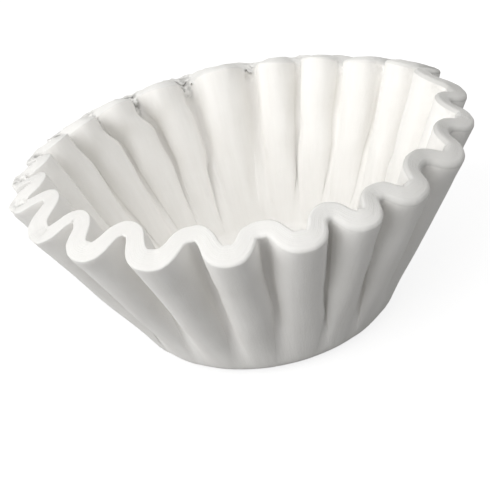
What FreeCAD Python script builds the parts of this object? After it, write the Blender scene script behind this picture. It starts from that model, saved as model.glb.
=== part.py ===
import FreeCAD, Part
import math
import os

# A stack of basket coffee filters nested into one thick, fluted cup.
# Millimetres, +Z up, origin at the middle of the underside.
# A flat disc of paper is pressed into this cup: the floor stays flat, and every line from the
# base edge out to the rim keeps its length. So the folds grow from nothing at the base edge to
# their full depth at the rim, and the folds that stand in end higher than those that stand out.

SIZES = [
    ("base_diameter", 80.0, "across the base edge, where the outer faces of floor and wall would meet"),
    ("slant_length", 63.5, "from the base edge to the rim, along the paper"),
    ("wall_thickness", 5.0, "all the nested sheets together, the same in floor and wall"),
    ("corner_radius", 8.0, "outside rounding of the base edge"),
    ("outward_slant", 27.9, "degrees from upright, along an outward fold"),
    ("inward_slant", 20.8, "degrees from upright, along an inward fold"),
    ("fold_fullness", 0.55, "0 gives plain waves, 1 gives folds with radial flanks"),
    ("flute_count", 22, "outward folds round the cup"),
]

# The pressing is uneven. Each list has one entry for each outward fold, anticlockwise from +X.
# How far the outward fold has strayed from even spacing, as a share of that spacing.
FOLD_DRIFT = [0.0, 0.1, 0.0, 0.05, -0.05, -0.1, 0.2, 0.25, 0.2, 0.05, -0.15,
              -0.25, -0.3, -0.05, -0.05, 0.0, 0.05, 0.05, -0.1, -0.25, -0.05, 0.1]
# Where the inward fold lies between its outward fold and the next one.
INWARD_PLACE = [0.5, 0.5, 0.5, 0.5, 0.5, 0.5, 0.5, 0.5, 0.5, 0.5, 0.5,
                0.5, 0.5, 0.55, 0.45, 0.55, 0.45, 0.5, 0.5, 0.55, 0.5, 0.5]
# How much more upright, in degrees, the inward fold stands than inward_slant.
INWARD_LIFT = [0.0, -0.5, 0.0, -0.5, 0.0, 1.0, 0.5, 0.0, -0.5, -1.0, -0.5,
               0.0, 1.0, 0.5, 1.0, 0.5, -0.5, -0.5, -1.0, 0.0, -1.0, -1.0]

# Flat facets that follow the folds: along half a fold, up the rounded corner and up the wall
FACETS_PER_HALF_FOLD = 6
CORNER_FACETS = 3
WALL_FACETS = 3


def make_sheet(doc):
    """The spreadsheet that holds the driving dimensions."""
    sheet = doc.addObject("Spreadsheet::Sheet", "Sizes")
    for row, (alias, value, meaning) in enumerate(SIZES, start=1):
        sheet.set("A%d" % row, alias)
        sheet.set("B%d" % row, str(value))
        sheet.set("C%d" % row, meaning)
        sheet.setAlias("B%d" % row, alias)
    doc.recompute()
    return sheet


def entry(values, flute):
    """The list's entry for a flute; a longer round of flutes goes through the list again."""
    return values[flute % len(values)]


def fold_path(sheet):
    """Azimuth and slant, in radians, of each generator round the cup, anticlockwise from above."""
    count = int(sheet.flute_count)
    spacing = 2 * math.pi / count
    outward = [(i + entry(FOLD_DRIFT, i)) * spacing for i in range(count)]
    outward.append(outward[0] + 2 * math.pi)
    out_lean = math.tan(math.radians(sheet.outward_slant))
    path = []
    for i in range(count):
        inward = outward[i] + entry(INWARD_PLACE, i) * (outward[i + 1] - outward[i])
        in_lean = math.tan(math.radians(sheet.inward_slant - entry(INWARD_LIFT, i)))
        for start, end, first, last in ((outward[i], inward, out_lean, in_lean),
                                        (inward, outward[i + 1], in_lean, out_lean)):
            for step in range(FACETS_PER_HALF_FOLD):
                phase = math.pi * step / FACETS_PER_HALF_FOLD
                share = (phase + 0.5 * sheet.fold_fullness * math.sin(2 * phase)) / math.pi
                lean = (first + last) / 2 + (first - last) / 2 * math.cos(phase)
                path.append((start + share * (end - start), math.atan(lean)))
    return path


def wall_level(sheet, path, share):
    """The sheet's middle at one level of the wall, 0 at its foot and 1 at the rim.

    Gives for each generator its point, its rising direction and the normal that points out.
    """
    half = sheet.wall_thickness / 2
    middle = []
    rising = []
    for azimuth, slant in path:
        half_turn = math.tan((math.pi / 2 - slant) / 2)
        foot = (sheet.corner_radius - half) * half_turn
        rim = sheet.slant_length - half * half_turn
        along = foot + share * (rim - foot)
        out = FreeCAD.Vector(math.cos(azimuth), math.sin(azimuth), 0)
        rise = out * math.sin(slant) + FreeCAD.Vector(0, 0, math.cos(slant))
        edge = out * (sheet.base_diameter / 2 - half * half_turn) + FreeCAD.Vector(0, 0, half)
        middle.append(edge + rise * along)
        rising.append(rise)
    normals = []
    for i in range(len(middle)):
        around = middle[(i + 1) % len(middle)] - middle[i - 1]
        normals.append(around.cross(rising[i]).normalize())
    return middle, rising, normals


def skin_rings(sheet, path, side):
    """Rings of one skin of the sheet, outer (side 1) or inner (side -1), from floor to rim."""
    offset = side * sheet.wall_thickness / 2
    floor = sheet.wall_thickness / 2 - offset
    levels = []
    for i in range(WALL_FACETS + 1):
        middle, rising, normals = wall_level(sheet, path, i / WALL_FACETS)
        levels.append([point + normal * offset for point, normal in zip(middle, normals)])
    corner = [[] for _ in range(CORNER_FACETS)]
    for foot, rise in zip(levels[0], rising):
        # The arc leaves the wall at its foot and ends on the flat floor
        sharp = foot - rise * ((foot.z - floor) / rise.z)
        out = FreeCAD.Vector(sharp.x, sharp.y, 0).normalize()
        tangent = foot.distanceToPoint(sharp)
        turn = out.getAngle(rise)
        radius = tangent / math.tan(turn / 2)
        flat = sharp - out * tangent
        up = FreeCAD.Vector(0, 0, 1)
        for i in range(CORNER_FACETS):
            angle = turn * i / CORNER_FACETS
            corner[i].append(flat + out * (radius * math.sin(angle))
                             + up * (radius * (1 - math.cos(angle))))
    return corner + levels


def band(lower, upper):
    """Flat three-sided faces that join two rings, each pair split along its shorter diagonal."""
    faces = []
    for i in range(len(lower)):
        a, b, c, d = lower[i - 1], lower[i], upper[i], upper[i - 1]
        if a.distanceToPoint(c) < b.distanceToPoint(d):
            halves = ([a, b, c, a], [a, c, d, a])
        else:
            halves = ([a, b, d, a], [b, c, d, b])
        faces += [Part.Face(Part.makePolygon(half)) for half in halves]
    return faces


def make_filter_stack(doc, sheet):
    """The whole nested stack as one solid: floor, rounded corner, fluted wall and cut rim."""
    path = fold_path(sheet)
    outer, inner = [skin_rings(sheet, path, side) for side in (1, -1)]
    faces = band(outer[-1], inner[-1])
    for rings in (outer, inner):
        faces.append(Part.Face(Part.makePolygon(rings[0] + rings[0][:1])))
        for lower, upper in zip(rings, rings[1:]):
            faces += band(lower, upper)
    shell = Part.makeShell(faces)
    shell.sewShape()
    solid = Part.makeSolid(Part.Shell(shell.Faces))
    if solid.Volume < 0:
        solid.reverse()
    stack = doc.addObject("Part::Feature", "FilterStack")
    stack.Label = "filter_stack"
    stack.Shape = solid
    stack.Placement = FreeCAD.Placement()
    return stack


def check(doc, parts):
    """Stop if an object failed or a sub-part has no sound shape."""
    for item in doc.Objects:
        if "Invalid" in item.State or "Error" in item.State:
            raise RuntimeError("%s failed: %s" % (item.Name, item.State))
    for part in parts:
        shape = part.Shape
        if shape.isNull() or not shape.isValid() or len(shape.Solids) != 1:
            raise RuntimeError("%s has no sound single solid" % part.Label)


def main():
    doc = FreeCAD.newDocument("coffee_filter_stack")
    sheet = make_sheet(doc)
    parts = [make_filter_stack(doc, sheet)]
    doc.recompute()
    check(doc, parts)
    os.makedirs("parts", exist_ok=True)
    for part in parts:
        part.Shape.exportStep("parts/%s.step" % part.Label)
        box = part.Shape.BoundBox
        print("%s: volume %.0f mm3, %.1f x %.1f x %.1f mm"
              % (part.Label, part.Shape.Volume, box.XLength, box.YLength, box.ZLength))


main()
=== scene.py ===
import math

import bmesh
import bpy
from bpy.props import FloatProperty, FloatVectorProperty, IntProperty, PointerProperty
from mathutils import Matrix, Vector, noise


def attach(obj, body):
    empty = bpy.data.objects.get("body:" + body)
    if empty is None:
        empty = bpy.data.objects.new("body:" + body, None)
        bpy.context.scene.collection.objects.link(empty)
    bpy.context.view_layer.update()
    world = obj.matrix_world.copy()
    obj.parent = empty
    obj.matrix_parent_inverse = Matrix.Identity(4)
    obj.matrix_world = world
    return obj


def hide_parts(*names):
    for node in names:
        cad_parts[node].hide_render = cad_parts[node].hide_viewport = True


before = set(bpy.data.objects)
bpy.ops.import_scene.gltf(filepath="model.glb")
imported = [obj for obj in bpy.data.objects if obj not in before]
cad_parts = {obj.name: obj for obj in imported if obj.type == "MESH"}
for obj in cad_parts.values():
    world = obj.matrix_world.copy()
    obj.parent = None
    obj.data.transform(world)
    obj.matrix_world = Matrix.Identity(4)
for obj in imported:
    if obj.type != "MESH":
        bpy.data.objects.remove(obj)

bl_info = {
    "name": "Coffee filter stack",
    "version": (1, 0, 0),
    "blender": (4, 5, 0),
    "location": "3D View > Sidebar > Coffee filters",
    "description": "A nested stack of fluted paper coffee filters, with a plain studio",
    "category": "Object",
}

NODE = "filter_stack"

# The pressing is uneven. Each list has one entry for each outward fold, anticlockwise from +X.
# How far the outward fold has strayed from even spacing, as a share of that spacing.
FOLD_DRIFT = (0.0, 0.1, 0.0, 0.05, -0.05, -0.1, 0.26, 0.33, 0.28, 0.13, -0.07,
              -0.19, -0.3, -0.05, -0.05, 0.0, 0.05, 0.05, -0.1, -0.25, -0.05, 0.1)
# Where the inward fold lies between its outward fold and the next one.
INWARD_PLACE = (0.5, 0.5, 0.5, 0.5, 0.5, 0.5, 0.5, 0.5, 0.5, 0.5, 0.5,
                0.5, 0.42, 0.39, 0.45, 0.53, 0.45, 0.5, 0.5, 0.55, 0.5, 0.5)
# How much more upright, in degrees, the inward fold stands than the inward slant.
INWARD_LIFT = (0.0, -0.5, 0.0, -0.5, 0.0, 1.0, 0.5, 0.0, -0.5, -1.0, -0.5,
               0.3, 2.2, 1.9, 1.9, 0.5, -0.5, -0.5, -1.0, 0.0, -1.0, -1.0)

# Where a fold jumps sideways part of the way up the wall: its azimuth in degrees, the level
# below which it has jumped, how many degrees to each side go with it, and how far, in metres
KINKS = ((130, 0.85, 45, -0.0034), (102, 0.48, 9, 0.0038), (119, 0.5, 7, 0.0012),
         (149, 0.4, 7, -0.0010), (60, 0.55, 7, 0.0012), (228, 0.5, 6, -0.0011),
         (279, 0.35, 7, 0.0012), (306, 0.6, 6, -0.0009), (12, 0.5, 7, 0.0012))
# Short creases of the innermost sheets: azimuth in degrees, lowest and highest level, and depth
CREASES = ((86, 0.15, 0.62, 0.0011), (155, 0.1, 0.55, 0.0006), (44, 0.45, 1.0, 0.0009),
           (111, 0.2, 0.5, 0.0007), (70, 0.5, 0.8, -0.0006), (141, 0.45, 0.85, 0.0006),
           (26, 0.2, 0.6, 0.0007), (196, 0.3, 0.7, 0.0006), (250, 0.2, 0.7, 0.0007))

# Half the width of one of those creases and how far it leans over the wall's height, in degrees
CREASE_REACH = 2.6
CREASE_LEAN = 3

# Levels on the wall, 0 at its foot and 1 at the rim: the height over which a kinked fold moves
# across, the level from which kinks are full, that where the folds have their whole depth, and
# those above which the paper crumples and the inner sheets stand off
KINK_HEIGHT = 0.14
KINK_START = 0.12
FOLDS_GROWN = 0.45
CRUMPLE_START = 0.84
FAN_START = 0.72
# How much of a fold's own slant it has at the foot of the wall
FOOT_GROWTH = 0.45
# Crumples in each metre
CRUMPLE_FINENESS = 330

# Sides of the cup where the rim differs most, in degrees anticlockwise from +X
INNER_FALL_SIDE = 95
NOTCH_SIDE = 140
OUTER_FALL_SIDE = -45
SOFT_EDGE_SIDE = -28
LONG_SIDE = 13
LONG_REACH = 34
CRUMPLED_SIDE = 120
FAN_SIDE = 265
# Painted shade in crumpled hollows of the rim, at the back left and at the right
PAINTED_GAP_SHADE_SIDES = (140, 8)
# Painted shade on the right of the rim, turned from the key light
PAINTED_RIGHT_SHADE_SIDES = (-25, 24)

# How finely the cup is meshed; the wall's rings stand closer together toward the rim
COLUMNS_PER_HALF_FOLD = 15
CORNER_RINGS = 7
WALL_RINGS = 26
WALL_SPACING = 1.15
# Rings of the flat floor, as shares of the way from its middle to the corner
FLOOR_RINGS = (0.05, 0.25, 0.5, 0.75, 0.92)
# Rings across one bunch of sheets on the rim: the place in the bunch, and how deep it lies there
LEAF_PROFILE = ((0.10, 0.55), (0.24, 0.0), (0.76, 0.0), (0.90, 0.55))

# The camera that took the photograph: degrees, metres, and its focal length in image widths
CAMERA_ELEVATION = 29.78
CAMERA_ROLL = -11.75
CAMERA_DISTANCE = 0.300
CAMERA_TARGET = (-0.00416, 0, 0.02091)
FOCAL_WIDTHS = 947 / 490
SENSOR_WIDTH = 36.0
NEAREST_SEEN = 0.01

# The two soft lights: the side they shine from and their breadth in degrees
KEY_SIDE = (-0.76, -0.45, 0.50)
KEY_BREADTH = 60
TOP_SIDE = (0.32, -0.26, 0.90)
TOP_BREADTH = 80

# The floor: half its width in metres, the grey that lights the cup, and its own glow where seen
FLOOR_REACH = 3.0
FLOOR_GREY = 0.30
FLOOR_GLOW = 0.80


class CupSizes(bpy.types.PropertyGroup):
    """Sizes of the nested stack."""
    base_diameter: FloatProperty(
        name="Base diameter", description="Across the base edge, where floor and wall would meet",
        default=0.080, min=0.02, subtype="DISTANCE", unit="LENGTH")
    slant_length: FloatProperty(
        name="Slant length", description="From the base edge to the rim, along the paper",
        default=0.0635, min=0.02, subtype="DISTANCE", unit="LENGTH")
    wall_thickness: FloatProperty(
        name="Wall thickness", description="All the nested sheets together",
        default=0.005, min=0.0005, subtype="DISTANCE", unit="LENGTH")
    corner_radius: FloatProperty(
        name="Corner radius", description="Outside rounding of the base edge",
        default=0.008, min=0.001, subtype="DISTANCE", unit="LENGTH")
    outward_slant: FloatProperty(
        name="Outward slant", description="From upright, along an outward fold",
        default=math.radians(27.9), min=0.0, subtype="ANGLE", unit="ROTATION")
    inward_slant: FloatProperty(
        name="Inward slant", description="From upright, along an inward fold",
        default=math.radians(20.8), min=0.0, subtype="ANGLE", unit="ROTATION")
    fold_fullness: FloatProperty(
        name="Fold fullness",
        description="0 gives plain waves, 1 gives folds with radial flanks",
        default=0.55, min=0.0, max=1.0, subtype="FACTOR")
    flute_count: IntProperty(
        name="Flutes", description="Outward folds round the cup", default=22, min=3)
    leaf_groups: IntProperty(
        name="Leaf groups", description="Bunches of sheet edges that show on the cut rim",
        default=11, min=1)
    leaf_step: FloatProperty(
        name="Leaf step", description="How unevenly the bunches of sheet edges end",
        default=0.00004, min=0.0, subtype="DISTANCE", unit="LENGTH")
    inner_fall: FloatProperty(
        name="Inner fall",
        description="How far below the outer sheets the inner ones end at the back",
        default=0.0034, min=0.0, subtype="DISTANCE", unit="LENGTH")
    outer_fall: FloatProperty(
        name="Outer fall",
        description="How far below the inner sheets the outer ones end at the right",
        default=0.0015, min=0.0, subtype="DISTANCE", unit="LENGTH")
    back_rise: FloatProperty(
        name="Back rise", description="How much longer the sheets are at the back right",
        default=0.0026, min=0.0, subtype="DISTANCE", unit="LENGTH")
    edge_radius: FloatProperty(
        name="Edge radius", description="Rounding of the rim's edges where it is softest",
        default=0.0013, min=0.00001, subtype="DISTANCE", unit="LENGTH")
    cut_wave: FloatProperty(
        name="Cut wave", description="How uneven the cut rim is all round",
        default=0.0006, min=0.0, subtype="DISTANCE", unit="LENGTH")
    wander: FloatProperty(
        name="Fold wander", description="How far a fold strays sideways on its way up the wall",
        default=0.0009, min=0.0, subtype="DISTANCE", unit="LENGTH")
    crumple: FloatProperty(
        name="Crumple", description="Depth of the crumpled paper where a fold is tight at the rim",
        default=0.0036, min=0.0, subtype="DISTANCE", unit="LENGTH")
    pinch: FloatProperty(
        name="Pinch", description="How much sharper each valley is than an even wave",
        default=0.0019, min=0.0, subtype="DISTANCE", unit="LENGTH")
    fan: FloatProperty(
        name="Fan",
        description="How far the innermost sheets stand off at the front of the rim",
        default=0.0018, min=0.0, subtype="DISTANCE", unit="LENGTH")
    ripple: FloatProperty(
        name="Ripple", description="Depth of the paper's own unevenness near the rim",
        default=0.00045, min=0.0, subtype="DISTANCE", unit="LENGTH")


class PaperFinish(bpy.types.PropertyGroup):
    """Colour and surface of the paper."""
    paper_color: FloatVectorProperty(
        name="Paper", description="Colour of the bleached paper",
        default=(0.915, 0.903, 0.878), size=3, min=0.0, max=1.0, subtype="COLOR")
    cut_color: FloatVectorProperty(
        name="Cut edge", description="Colour of the cut rim, where the sheet edges trap some light",
        default=(0.875, 0.865, 0.84), size=3, min=0.0, max=1.0, subtype="COLOR")
    # Painted shade: the dark lines in the grooves between the sheet edges of the cut rim
    groove_shade_color: FloatVectorProperty(
        name="Between leaves", description="Colour of the shaded lines between sheet edges",
        default=(0.82, 0.81, 0.785), size=3, min=0.0, max=1.0, subtype="COLOR")
    # Painted shade, for the crumpled hollows of the rim and for its right side, turned from the key
    # light
    painted_shade_color: FloatVectorProperty(
        name="Painted shade", description="Colour of the shade where sheets stand apart",
        default=(0.36, 0.355, 0.34), size=3, min=0.0, max=1.0, subtype="COLOR")


class StudioSettings(bpy.types.PropertyGroup):
    """Light level of the studio."""
    key_strength: FloatProperty(
        name="Key light", description="Strength of the soft light from the upper left",
        default=2.28, min=0.0)
    top_strength: FloatProperty(
        name="Top light", description="Strength of the broad soft light from above",
        default=1.2, min=0.0)
    ambient: FloatProperty(
        name="Ambient", description="Strength of the even light from all round",
        default=0.26, min=0.0)


def entry(values, flute):
    """The list's entry for a flute; a longer round of flutes goes through the list again."""
    return values[flute % len(values)]


def fold_columns(sizes):
    """Azimuth, slant and crest of each line from base edge to rim, anticlockwise from above.

    The crest is 1 on an outward fold and -1 on an inward one.
    """
    count = sizes.flute_count
    spacing = 2 * math.pi / count
    outward = [(i + entry(FOLD_DRIFT, i)) * spacing for i in range(count)]
    outward.append(outward[0] + 2 * math.pi)
    out_lean = math.tan(sizes.outward_slant)
    columns = []
    for i in range(count):
        inward = outward[i] + entry(INWARD_PLACE, i) * (outward[i + 1] - outward[i])
        in_lean = math.tan(sizes.inward_slant - math.radians(entry(INWARD_LIFT, i)))
        for start, end, first, last, crested in (
                (outward[i], inward, out_lean, in_lean, 1),
                (inward, outward[i + 1], in_lean, out_lean, -1)):
            for step in range(COLUMNS_PER_HALF_FOLD):
                phase = math.pi * step / COLUMNS_PER_HALF_FOLD
                share = (phase + 0.5 * sizes.fold_fullness * math.sin(2 * phase)) / math.pi
                lean = (first + last) / 2 + (first - last) / 2 * math.cos(phase)
                columns.append((start + share * (end - start), math.atan(lean),
                                crested * math.cos(phase)))
    return columns


def ripple_at(azimuth, height, scale, seed):
    """Smooth unevenness from -1 to 1 that closes up round the cup."""
    place = Vector((math.cos(azimuth) * scale, math.sin(azimuth) * scale, height))
    return noise.noise(place + Vector((seed, seed * 0.7, 0)))


def facing(azimuth, degrees):
    """1 on the side of the cup at that many degrees, 0 a quarter turn away and -1 opposite."""
    return math.cos(azimuth - math.radians(degrees))


def apart(azimuth, degrees):
    """Degrees, from -180 to 180, by which an azimuth is past another that is in degrees."""
    return (math.degrees(azimuth) - degrees + 180) % 360 - 180


def smooth(share):
    """Carries 0..1 to 0..1 with no corner at either end."""
    return share * share * (3 - 2 * share)


def fall_at(sizes, azimuth, crest):
    """How far below the outermost sheet the innermost one ends."""
    behind = 0.5 + 0.5 * facing(azimuth, INNER_FALL_SIDE)
    uneven = 1 + 0.6 * ripple_at(azimuth, 0.4, 6, 31)
    behind_left = 0.5 + 0.5 * facing(azimuth, NOTCH_SIDE)
    notch = 0.7 * behind_left ** 2 * max(0.0, (crest - 0.8) / 0.2) ** 2
    return sizes.inner_fall * ((0.12 + 0.88 * behind ** 2) * (0.8 + 0.3 * crest) * uneven + notch)


def outer_fall_at(sizes, azimuth):
    """How far below the innermost sheet the outermost one ends, on the right of the cup."""
    on_right = max(0.0, facing(azimuth, OUTER_FALL_SIDE))
    return sizes.outer_fall * on_right ** 2 * (1 + 0.4 * ripple_at(azimuth, 0.9, 5, 57))


def rise_at(sizes, azimuth):
    """How much longer the sheets are at the back right than elsewhere."""
    off = abs(apart(azimuth, LONG_SIDE)) / LONG_REACH
    return sizes.back_rise * math.cos(math.pi / 2 * min(1.0, off)) ** 2


def edge_drop_at(sizes, azimuth, across):
    """How far the rounding of the rim's two edges has come down; it is rounder at the right."""
    on_right = max(0.0, facing(azimuth, SOFT_EDGE_SIDE))
    radius = sizes.edge_radius * (0.3 + 0.7 * on_right)
    inside = min(across, 1 - across) * sizes.wall_thickness
    if inside >= radius:
        return 0.0
    return radius - math.sqrt(radius ** 2 - (radius - inside) ** 2)


def jump_at(azimuth, share):
    """How far the kinked folds stand sideways from their own line, in metres."""
    jump = 0.0
    for degrees, level, reach, distance in KINKS:
        off = abs(apart(azimuth, degrees)) / reach
        if off < 1:
            below = (level - share) / KINK_HEIGHT + 0.5
            below = smooth(min(1.0, max(0.0, below))) * min(1.0, share / KINK_START)
            jump += distance * math.cos(math.pi / 2 * off) ** 2 * below
    return jump


def crease_at(azimuth, share):
    """How deep the short creases are at one place on the inner skin, in metres."""
    depth = 0.0
    for degrees, low, high, most in CREASES:
        off = abs(apart(azimuth, degrees + CREASE_LEAN * (share - low))) / CREASE_REACH
        if off < 1 and low < share < high:
            along = (share - low) / (high - low)
            depth += most * (1 - off) * math.sin(math.pi * along ** 0.7)
    return depth


def slant_at(sizes, slant, share):
    """Slant of a fold at one level; near the base all folds still slant nearly alike."""
    even = (math.tan(sizes.outward_slant) + math.tan(sizes.inward_slant)) / 2
    grown = FOOT_GROWTH + (1 - FOOT_GROWTH) * smooth(min(1.0, share / FOLDS_GROWN))
    return math.atan(even + (math.tan(slant) - even) * grown)


def wall_level(sizes, columns, share, across):
    """The stack at one level of the wall, 0 at its foot and 1 at the rim.

    Across goes from 0 for the outermost sheet to 1 for the innermost, and only sets where
    that sheet ends; the points are those of the middle of the stack.
    """
    half = sizes.wall_thickness / 2
    middle = []
    rising = []
    for azimuth, full_slant, crest in columns:
        slant = slant_at(sizes, full_slant, share)
        half_turn = math.tan((math.pi / 2 - slant) / 2)
        foot = (sizes.corner_radius - half) * half_turn
        rim = sizes.slant_length - half * half_turn
        rim -= fall_at(sizes, azimuth, crest) * across ** 1.4
        rim -= outer_fall_at(sizes, azimuth) * (1 - across) ** 1.4
        rim -= edge_drop_at(sizes, azimuth, across)
        rim += rise_at(sizes, azimuth)
        rim -= sizes.cut_wave * (0.5 + 0.7 * ripple_at(azimuth, 0.3, 11, 77))
        along = foot + share * (rim - foot)
        out = Vector((math.cos(azimuth), math.sin(azimuth), 0))
        rise = out * math.sin(slant) + Vector((0, 0, math.cos(slant)))
        edge = out * (sizes.base_diameter / 2 - half * half_turn) + Vector((0, 0, half))
        middle.append(edge + rise * along)
        rising.append(rise)
    normals = []
    for i in range(len(middle)):
        around = middle[(i + 1) % len(middle)] - middle[i - 1]
        normals.append(around.cross(rising[i]).normalized())
    for i, (azimuth, _, _) in enumerate(columns):
        wave = ripple_at(azimuth, share * 2.2, 5, 3) + 0.5 * ripple_at(azimuth, share * 5, 14, 8)
        stray = ripple_at(azimuth, share * 3.5, 5, 13) + 0.4 * ripple_at(azimuth, share * 9, 8, 17)
        sideways = Vector((-math.sin(azimuth), math.cos(azimuth), 0))
        facet = 0.35 - abs(ripple_at(azimuth, share * 1.6, 34, 41)) * 1.4
        middle[i] += normals[i] * (sizes.ripple * share * (wave + 0.5 * facet))
        stray = sizes.wander * math.sin(math.pi * share) * stray + jump_at(azimuth, share)
        middle[i] += sideways * stray
    return middle, rising, normals


def crumple_at(sizes, point, azimuth, crest, share, across):
    """Small hard creases at the back left, where an outward fold is tight at the rim."""
    behind_left = (0.5 + 0.5 * facing(azimuth, CRUMPLED_SIDE)) ** 2
    tight = max(0.0, (crest - 0.35) / 0.65)
    tight *= max(0.0, (share - CRUMPLE_START) / (1 - CRUMPLE_START))
    tight *= (0.3 + 0.7 * across) * behind_left
    if tight == 0:
        return 0.0
    place = point * CRUMPLE_FINENESS
    return sizes.crumple * tight * (noise.noise(place) + 0.5 * noise.noise(place * 2.3))


def fan_at(sizes, azimuth, crest, share):
    """How far the innermost sheets stand off near the rim where a front fold stands out."""
    front = 0.5 + 0.5 * facing(azimuth, FAN_SIDE)
    rise = max(0.0, (share - FAN_START) / (1 - FAN_START))
    return sizes.fan * front * max(0.0, 0.2 + 0.8 * crest) * rise * rise


def skin_rings(sizes, columns, side):
    """Rings of one skin of the stack, outer (side 1) or inner (side -1), floor to rim."""
    offset = side * sizes.wall_thickness / 2
    floor = sizes.wall_thickness / 2 - offset
    across = 0.0 if side > 0 else 1.0
    depth = sizes.pinch * (1.3 + 0.2 * side)
    levels = []
    for i in range(WALL_RINGS + 1):
        share = 1 - (1 - i / WALL_RINGS) ** WALL_SPACING
        middle, rising, normals = wall_level(sizes, columns, share, across)
        level = []
        for point, normal, (azimuth, _, crest) in zip(middle, normals, columns):
            valley = max(0.0, -side * crest) ** 5 * share * (1 - share ** 10)
            skin = point + normal * (offset - side * depth * valley)
            skin += normal * crumple_at(sizes, skin, azimuth, crest, share, across)
            if side < 0:
                skin += normal * crease_at(azimuth, share)
                skin -= normal * fan_at(sizes, azimuth, crest, share)
            level.append(skin)
        levels.append(level)
    corner = [[] for _ in range(CORNER_RINGS)]
    flats = []
    for foot, rise in zip(levels[0], rising):
        sharp = foot - rise * ((foot.z - floor) / rise.z)
        out = Vector((sharp.x, sharp.y, 0)).normalized()
        tangent = (foot - sharp).length
        turn = out.angle(rise)
        radius = tangent / math.tan(turn / 2)
        flat = sharp - out * tangent
        flats.append(flat)
        for i in range(CORNER_RINGS):
            angle = turn * i / CORNER_RINGS
            corner[i].append(flat + out * (radius * math.sin(angle))
                             + Vector((0, 0, radius * (1 - math.cos(angle)))))
    floors = [[Vector((flat.x * share, flat.y * share, floor)) for flat in flats]
              for share in FLOOR_RINGS]
    return floors + corner + levels


def rim_rings(sizes, columns):
    """Rings across the cut rim, from the outer skin to the inner one, in bunches of leaves."""
    rings = []
    edges = [0.0]
    for i in range(sizes.leaf_groups):
        edges.append(edges[-1] + 1.0 + 0.5 * noise.noise(Vector((i * 2.7, 4.1, 0.3))))
    edges = [edge / edges[-1] for edge in edges]
    for i in range(sizes.leaf_groups):
        width = edges[i + 1] - edges[i]
        for inset, sink in LEAF_PROFILE:
            across = edges[i] + inset * width
            middle, rising, normals = wall_level(sizes, columns, 1.0, across)
            offset = (0.5 - across) * sizes.wall_thickness
            ring = []
            for j, (azimuth, _, crest) in enumerate(columns):
                step = ripple_at(azimuth, i * 3.1, 4, 21)
                step += 0.6 * ripple_at(azimuth, i * 5.7, 16, 5)
                lift = sizes.leaf_step * (step - sink)
                fan = across * fan_at(sizes, azimuth, crest, 1.0)
                point = middle[j] + normals[j] * (offset - fan)
                crease = crumple_at(sizes, point, azimuth, crest, 1.0, across)
                ring.append(point + rising[j] * (lift + crease) + normals[j] * crease)
            rings.append(ring)
    return rings


def painted_gap_shade_at(azimuth, crest):
    """How much painted shade darkens the crumpled hollows at one place on the rim, from 0 to 1."""
    left, right = [facing(azimuth, side) for side in PAINTED_GAP_SHADE_SIDES]
    left = max(0.0, left) ** 2 * max(0.0, (crest - 0.78) / 0.22)
    right = max(0.0, right - 0.5) * (0.5 + 0.5 * crest)
    return min(1.0, 1.2 * left + right)


def painted_right_shade_at(azimuth, crest):
    """Painted shade on the cut rim at the right of the cup, the side turned from the key light,
    from 0 to 1.
    """
    front, back = [facing(azimuth, side) for side in PAINTED_RIGHT_SHADE_SIDES]
    front = max(0.0, front - 0.5) * (0.8 - 0.2 * crest)
    back = max(0.0, back - 0.85) / 0.15 * max(0.0, crest)
    return min(1.0, front + 0.8 * back)


def close_over(bm, edges, centre):
    """Carries a ring of edges in to one point."""
    made = bmesh.ops.extrude_edge_only(bm, edges=edges)
    tips = [g for g in made["geom"] if isinstance(g, bmesh.types.BMVert)]
    bmesh.ops.pointmerge(bm, verts=tips, merge_co=centre)


def sweep(bm, rings, column_layer, level_layer):
    """Extrudes one ring of edges through every level and closes both ends.

    Each vertex keeps the numbers of its column and its level.
    """
    count = len(rings[0])
    bmesh.ops.create_circle(bm, cap_ends=False, segments=count, radius=1.0)
    for vert in bm.verts:
        turn = math.atan2(vert.co.y, vert.co.x) / (2 * math.pi)
        vert[column_layer] = round(turn * count) % count
        vert.co = rings[0][vert[column_layer]]
    first = edges = list(bm.edges)
    for level, ring in enumerate(rings[1:], start=1):
        made = bmesh.ops.extrude_edge_only(bm, edges=edges)["geom"]
        edges = [g for g in made if isinstance(g, bmesh.types.BMEdge) and len(g.link_faces) == 1]
        for vert in made:
            if isinstance(vert, bmesh.types.BMVert):
                vert.co = ring[vert[column_layer]]
                vert[level_layer] = level
    close_over(bm, edges, Vector((0, 0, rings[-1][0].z)))
    close_over(bm, first, Vector((0, 0, rings[0][0].z)))


def feed(tree, socket, value):
    """Gives an input a number, a vector, a colour or another node's output."""
    if isinstance(value, bpy.types.NodeSocket):
        tree.links.new(value, socket)
    elif socket.type == "RGBA":
        socket.default_value = (*value, 1.0)
    else:
        socket.default_value = value


def noise_node(tree, vector, scale, detail, place, roughness=0.5):
    """A noise texture on a vector output."""
    node = tree.nodes.new("ShaderNodeTexNoise")
    node.location = place
    node.inputs["Scale"].default_value = scale
    node.inputs["Detail"].default_value = detail
    node.inputs["Roughness"].default_value = roughness
    tree.links.new(vector, node.inputs["Vector"])
    return node.outputs["Fac"]


def math_node(tree, operation, first, second, place):
    """A math node; each input is a number or another node's output."""
    node = tree.nodes.new("ShaderNodeMath")
    node.operation = operation
    node.location = place
    feed(tree, node.inputs[0], first)
    feed(tree, node.inputs[1], second)
    return node.outputs[0]


def vector_node(tree, operation, values, place):
    """A vector math node; each input is a vector or another node's output."""
    node = tree.nodes.new("ShaderNodeVectorMath")
    node.operation = operation
    node.location = place
    for socket, value in zip(node.inputs, values):
        feed(tree, socket, value)
    return node


def attribute_node(tree, name, place):
    """One of the cup's own numbers, as a node output."""
    node = tree.nodes.new("ShaderNodeAttribute")
    node.attribute_name = name
    node.location = place
    return node.outputs["Fac"]


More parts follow.
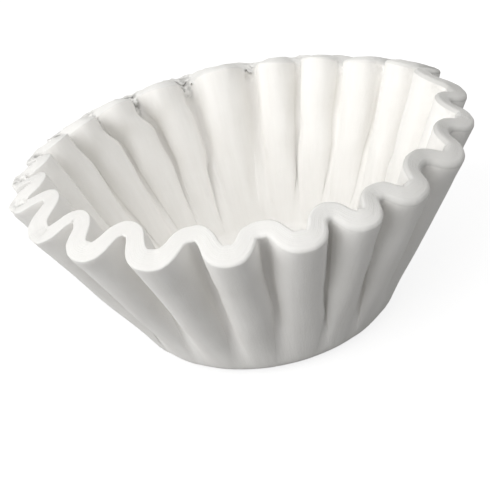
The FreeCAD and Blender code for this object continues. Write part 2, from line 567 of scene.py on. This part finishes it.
def ramp_node(tree, value, low, high, place):
    """Maps a value from low..high to 0..1 and holds it there."""
    node = tree.nodes.new("ShaderNodeMapRange")
    node.location = place
    node.inputs["From Min"].default_value = low
    node.inputs["From Max"].default_value = high
    tree.links.new(value, node.inputs["Value"])
    return node.outputs["Result"]


def mix_color(tree, factor, first, second, place, blend="MIX"):
    """A colour mix; the factor and each colour are values or other nodes' outputs."""
    node = tree.nodes.new("ShaderNodeMix")
    node.data_type = "RGBA"
    node.blend_type = blend
    node.location = place
    feed(tree, node.inputs["Factor"], factor)
    colors = [socket for socket in node.inputs if socket.type == "RGBA"]
    feed(tree, colors[0], first)
    feed(tree, colors[1], second)
    return next(socket for socket in node.outputs if socket.type == "RGBA")


def creped_paper_group():
    """Node group: the fibres, creping and pressed streaks of thin soft paper."""
    group = bpy.data.node_groups.new("Creped paper", "ShaderNodeTree")
    face = group.interface
    face.new_socket("Vector", in_out="INPUT", socket_type="NodeSocketVector")
    face.new_socket("Paper Color", in_out="INPUT", socket_type="NodeSocketColor")
    face.new_socket("Color", in_out="OUTPUT", socket_type="NodeSocketColor")
    face.new_socket("Height", in_out="OUTPUT", socket_type="NodeSocketFloat")
    face.new_socket("Roughness", in_out="OUTPUT", socket_type="NodeSocketFloat")
    start = group.nodes.new("NodeGroupInput")
    start.location = (-1200, 0)
    end = group.nodes.new("NodeGroupOutput")
    end.location = (600, 0)
    vector = start.outputs["Vector"]

    fibres = noise_node(group, vector, 2600, 3, (-900, 300), 0.6)
    creping = noise_node(group, vector, 900, 2, (-900, 60))

    # Streaks run up the wall: the place round the cup counts, the height hardly does
    flat = vector_node(group, "MULTIPLY", (vector, (1, 1, 0)), (-1000, -240)).outputs[0]
    round_cup = vector_node(group, "NORMALIZE", (flat,), (-840, -240)).outputs[0]
    place = vector_node(group, "MULTIPLY_ADD", (vector, (1.5, 1.5, 3.0), round_cup),
                        (-680, -240)).outputs[0]
    streaks = noise_node(group, place, 22, 5, (-500, -240), 0.6)
    # The flat floor has none
    radius = vector_node(group, "LENGTH", (flat,), (-840, -120)).outputs["Value"]
    off_floor = ramp_node(group, radius, 0.026, 0.042, (-660, -120))
    streaks = math_node(group, "SUBTRACT", streaks, 0.5, (-500, -100))
    streaks = math_node(group, "MULTIPLY", streaks, off_floor, (-420, -100))
    streaks = math_node(group, "ADD", streaks, 0.5, (-360, -100))
    clouds = noise_node(group, vector, 60, 3, (-900, -480))

    height = math_node(group, "MULTIPLY", fibres, 0.35, (-640, 300))
    crepe = math_node(group, "MULTIPLY", creping, 0.65, (-640, 60))
    height = math_node(group, "ADD", height, crepe, (-460, 200))
    streak_height = math_node(group, "MULTIPLY", streaks, 2.2, (-300, -140))
    height = math_node(group, "ADD", height, streak_height, (-100, 120))
    group.links.new(height, end.inputs["Height"])

    tone = math_node(group, "ADD", clouds, streaks, (-300, -420))
    tone = ramp_node(group, tone, 0.6, 1.4, (-120, -420))
    dull = mix_color(group, 1.0, start.outputs["Paper Color"], (0.93, 0.926, 0.918),
                     (-120, -620), "MULTIPLY")
    color = mix_color(group, tone, dull, start.outputs["Paper Color"], (120, -420))
    group.links.new(color, end.inputs["Color"])
    rough = ramp_node(group, fibres, 0.0, 1.0, (120, 300))
    rough = math_node(group, "MULTIPLY", rough, 0.12, (300, 300))
    rough = math_node(group, "ADD", rough, 0.84, (440, 300))
    group.links.new(rough, end.inputs["Roughness"])
    return group


def leaf_lines(tree, vector, groove_shade_color, color):
    """Painted shade in the grooves between the leaves' edges, as fine uneven lines along the cut
    rim.
    """
    across = tree.nodes.new("ShaderNodeCombineXYZ")
    across.location = (-1000, -500)
    tree.links.new(attribute_node(tree, "leaf", (-1200, -500)), across.inputs["X"])
    along = vector_node(tree, "MULTIPLY", (vector, (20, 20, 20)), (-1000, -700)).outputs[0]
    place = vector_node(tree, "MULTIPLY_ADD", (across.outputs[0], (30, 30, 30), along),
                        (-800, -600)).outputs[0]
    lines = noise_node(tree, place, 1.0, 3, (-600, -600), 0.6)
    shade = ramp_node(tree, lines, 0.35, 0.62, (-400, -600))
    return mix_color(tree, shade, groove_shade_color, color, (-200, -600))


def paper_material(name, paper_color, finish, group, on_rim=False):
    """Matt paper with its tone, bump and roughness from the group, painted shade lines between the
    leaves on the rim, and painted shade where crumpled sheets stand apart and on the right of the
    rim.
    """
    material = bpy.data.materials.new(name)
    material.use_nodes = True
    tree = material.node_tree
    shader = tree.nodes["Principled BSDF"]
    shader.inputs["Specular IOR Level"].default_value = 0.25
    place = tree.nodes.new("ShaderNodeTexCoord")
    place.location = (-1100, 0)
    vector = place.outputs["Object"]
    paper = tree.nodes.new("ShaderNodeGroup")
    paper.node_tree = group
    paper.location = (-600, 0)
    feed(tree, paper.inputs["Paper Color"], paper_color)
    feed(tree, paper.inputs["Vector"], vector)
    bump = tree.nodes.new("ShaderNodeBump")
    bump.location = (-250, -250)
    bump.inputs["Strength"].default_value = 0.35
    bump.inputs["Distance"].default_value = 0.00025
    tree.links.new(paper.outputs["Height"], bump.inputs["Height"])
    tree.links.new(bump.outputs["Normal"], shader.inputs["Normal"])
    tree.links.new(paper.outputs["Roughness"], shader.inputs["Roughness"])

    color = paper.outputs["Color"]
    # On the rim, painted shade lines between the leaves' edges
    if on_rim:
        color = leaf_lines(tree, vector, finish.groove_shade_color, color)
    # Painted shade: in crumbs between crumpled sheets, and evenly on the right of the rim, turned
    # from the key light
    crumbs = noise_node(tree, vector, 620, 2, (-900, 250))
    crumbs = ramp_node(tree, crumbs, 0.38, 0.60, (-700, 250))
    painted_gap_shade = attribute_node(tree, "painted_gap_shade", (-900, 400))
    shade = math_node(tree, "MULTIPLY", painted_gap_shade, crumbs, (-500, 300))
    # Painted shade on the right of the rim, turned from the key light
    painted_right_shade = attribute_node(tree, "painted_right_shade", (-900, 550))
    shade = math_node(tree, "MAXIMUM", painted_right_shade, shade, (-400, 400))
    color = mix_color(tree, shade, color, finish.painted_shade_color, (-250, 200))
    tree.links.new(color, shader.inputs["Base Color"])
    return material


class FILTER_OT_make_cup(bpy.types.Operator):
    """Make the fluted cup of nested filters with its cut rim"""
    bl_idname = "coffee_filter.make_cup"
    bl_label = "Make the filter cup"

    def execute(self, context):
        sizes = context.scene.cup_sizes
        finish = context.scene.paper_finish
        columns = fold_columns(sizes)
        outer = skin_rings(sizes, columns, 1)
        rim = rim_rings(sizes, columns)
        inner = skin_rings(sizes, columns, -1)
        rings = outer + rim + inner[::-1]

        bm = bmesh.new()
        column_layer = bm.verts.layers.int.new("column")
        level_layer = bm.verts.layers.int.new("level")
        leaf_layer = bm.verts.layers.float.new("leaf")
        painted_gap_shade_layer = bm.verts.layers.float.new("painted_gap_shade")
        painted_right_shade_layer = bm.verts.layers.float.new("painted_right_shade")
        sweep(bm, rings, column_layer, level_layer)
        first_rim = len(outer) - 1
        last_rim = len(outer) + len(rim)
        for vert in bm.verts:
            level = vert[level_layer]
            azimuth, _, crest = columns[vert[column_layer]]
            across = (level - first_rim) / (last_rim - first_rim)
            vert[leaf_layer] = min(1.0, max(0.0, across))
            # The painted shade between crumpled sheets reaches a few rings down the inner wall
            below = max(0, level - last_rim) / 3
            # Painted shade in the crumpled hollows
            if 0 < across and below < 1:
                vert[painted_gap_shade_layer] = painted_gap_shade_at(azimuth, crest) * min(1.0, 3 * across) * (1 - below)
            # Painted shade on the right of the rim, turned from the key light
            if 0 < across < 1:
                vert[painted_right_shade_layer] = painted_right_shade_at(azimuth, crest)
        for face in bm.faces:
            on_rim = all(first_rim <= v[level_layer] <= last_rim for v in face.verts)
            face.material_index = 1 if on_rim else 0
            face.smooth = True
        bmesh.ops.recalc_face_normals(bm, faces=bm.faces)
        mesh = bpy.data.meshes.new("filter_cup")
        bm.to_mesh(mesh)
        bm.free()
        cup = bpy.data.objects.new("filter_cup", mesh)
        context.collection.objects.link(cup)

        group = creped_paper_group()
        mesh.materials.append(paper_material("Filter paper", finish.paper_color, finish, group))
        mesh.materials.append(paper_material("Cut leaf edges", finish.cut_color, finish, group,
                                             on_rim=True))
        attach(cup, "root")
        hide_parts(NODE)
        return {"FINISHED"}


def white_seen(tree):
    """1 for rays that see a thing directly, in a gloss or through glass, as a node output."""
    path = tree.nodes.new("ShaderNodeLightPath")
    path.location = (-700, 300)
    seen = math_node(tree, "MAXIMUM", path.outputs["Is Camera Ray"],
                     path.outputs["Is Glossy Ray"], (-500, 300))
    return math_node(tree, "MAXIMUM", seen, path.outputs["Is Transmission Ray"], (-350, 300))


def floor_material():
    """A pale floor that shows white, with the object's shadow kept on it."""
    material = bpy.data.materials.new("Studio floor")
    material.use_nodes = True
    tree = material.node_tree
    tree.nodes.clear()
    out = tree.nodes.new("ShaderNodeOutputMaterial")
    out.location = (600, 0)
    matt = tree.nodes.new("ShaderNodeBsdfDiffuse")
    matt.location = (0, 0)
    feed(tree, matt.inputs["Color"], (FLOOR_GREY, FLOOR_GREY, FLOOR_GREY))
    glow = tree.nodes.new("ShaderNodeEmission")
    glow.location = (0, -200)
    level = math_node(tree, "MULTIPLY", white_seen(tree), FLOOR_GLOW, (-200, -200))
    tree.links.new(level, glow.inputs["Strength"])
    both = tree.nodes.new("ShaderNodeAddShader")
    both.location = (300, 0)
    tree.links.new(matt.outputs[0], both.inputs[0])
    tree.links.new(glow.outputs[0], both.inputs[1])
    tree.links.new(both.outputs[0], out.inputs["Surface"])
    return material


def set_world(ambient):
    """Even light from all round, shown as white where it is seen."""
    world = bpy.data.worlds.new("Studio")
    bpy.context.scene.world = world
    world.use_nodes = True
    tree = world.node_tree
    back = tree.nodes["Background"]
    back.inputs["Color"].default_value = (1, 1, 1, 1)
    level = math_node(tree, "MULTIPLY", white_seen(tree), 1.0 - ambient, (-200, 300))
    level = math_node(tree, "ADD", level, ambient, (-50, 300))
    tree.links.new(level, back.inputs["Strength"])


def aim(thing, back, target, distance, roll):
    """Places a camera or lamp so that it looks at a target from a direction, rolled about it."""
    side = Vector((0, 0, 1)).cross(back).normalized()
    up = back.cross(side)
    x = side * math.cos(roll) + up * math.sin(roll)
    y = up * math.cos(roll) - side * math.sin(roll)
    turn = Matrix((x, y, back)).transposed().to_4x4()
    thing.matrix_world = Matrix.Translation(target + back * distance) @ turn


class FILTER_OT_set_stage(bpy.types.Operator):
    """Set up the floor, the lights and the camera"""
    bl_idname = "coffee_filter.set_stage"
    bl_label = "Set the stage"

    def execute(self, context):
        studio = context.scene.studio_settings
        bm = bmesh.new()
        bmesh.ops.create_grid(bm, x_segments=1, y_segments=1, size=FLOOR_REACH)
        mesh = bpy.data.meshes.new("studio_floor")
        bm.to_mesh(mesh)
        bm.free()
        mesh.materials.append(floor_material())
        floor = bpy.data.objects.new("studio_floor", mesh)
        context.collection.objects.link(floor)
        set_world(studio.ambient)

        for name, strength, breadth, side in (
                ("key_light", studio.key_strength, KEY_BREADTH, KEY_SIDE),
                ("top_light", studio.top_strength, TOP_BREADTH, TOP_SIDE)):
            light = bpy.data.lights.new(name, "SUN")
            light.energy = strength
            light.angle = math.radians(breadth)
            lamp = bpy.data.objects.new(name, light)
            context.collection.objects.link(lamp)
            aim(lamp, Vector(side).normalized(), Vector((0, 0, 0)), 1.0, 0.0)

        lens = bpy.data.cameras.new("camera")
        lens.sensor_width = SENSOR_WIDTH
        lens.lens = SENSOR_WIDTH * FOCAL_WIDTHS
        lens.clip_start = NEAREST_SEEN
        camera = bpy.data.objects.new("camera", lens)
        context.collection.objects.link(camera)
        elevation = math.radians(CAMERA_ELEVATION)
        back = Vector((0, -math.cos(elevation), math.sin(elevation)))
        aim(camera, back, Vector(CAMERA_TARGET), CAMERA_DISTANCE, math.radians(CAMERA_ROLL))
        context.scene.camera = camera
        context.scene.view_settings.view_transform = "Standard"
        return {"FINISHED"}


class FILTER_PT_panel(bpy.types.Panel):
    """The filter stack's pieces, sizes and studio"""
    bl_idname = "FILTER_PT_panel"
    bl_label = "Coffee filters"
    bl_space_type = "VIEW_3D"
    bl_region_type = "UI"
    bl_category = "Coffee filters"

    def draw(self, context):
        scene = context.scene
        layout = self.layout
        for group in (scene.cup_sizes, scene.paper_finish):
            for name in group.__annotations__:
                layout.prop(group, name)
        layout.operator(FILTER_OT_make_cup.bl_idname)
        for name in scene.studio_settings.__annotations__:
            layout.prop(scene.studio_settings, name)
        layout.operator(FILTER_OT_set_stage.bl_idname)


CLASSES = (CupSizes, PaperFinish, StudioSettings, FILTER_OT_make_cup, FILTER_OT_set_stage,
           FILTER_PT_panel)


def register():
    for item in CLASSES:
        bpy.utils.register_class(item)
    bpy.types.Scene.cup_sizes = PointerProperty(type=CupSizes)
    bpy.types.Scene.paper_finish = PointerProperty(type=PaperFinish)
    bpy.types.Scene.studio_settings = PointerProperty(type=StudioSettings)


def unregister():
    del bpy.types.Scene.studio_settings
    del bpy.types.Scene.paper_finish
    del bpy.types.Scene.cup_sizes
    for item in reversed(CLASSES):
        bpy.utils.unregister_class(item)


def main():
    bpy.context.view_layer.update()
    register()
    bpy.ops.coffee_filter.make_cup()
    bpy.ops.coffee_filter.set_stage()


if __name__ == "__main__":
    main()
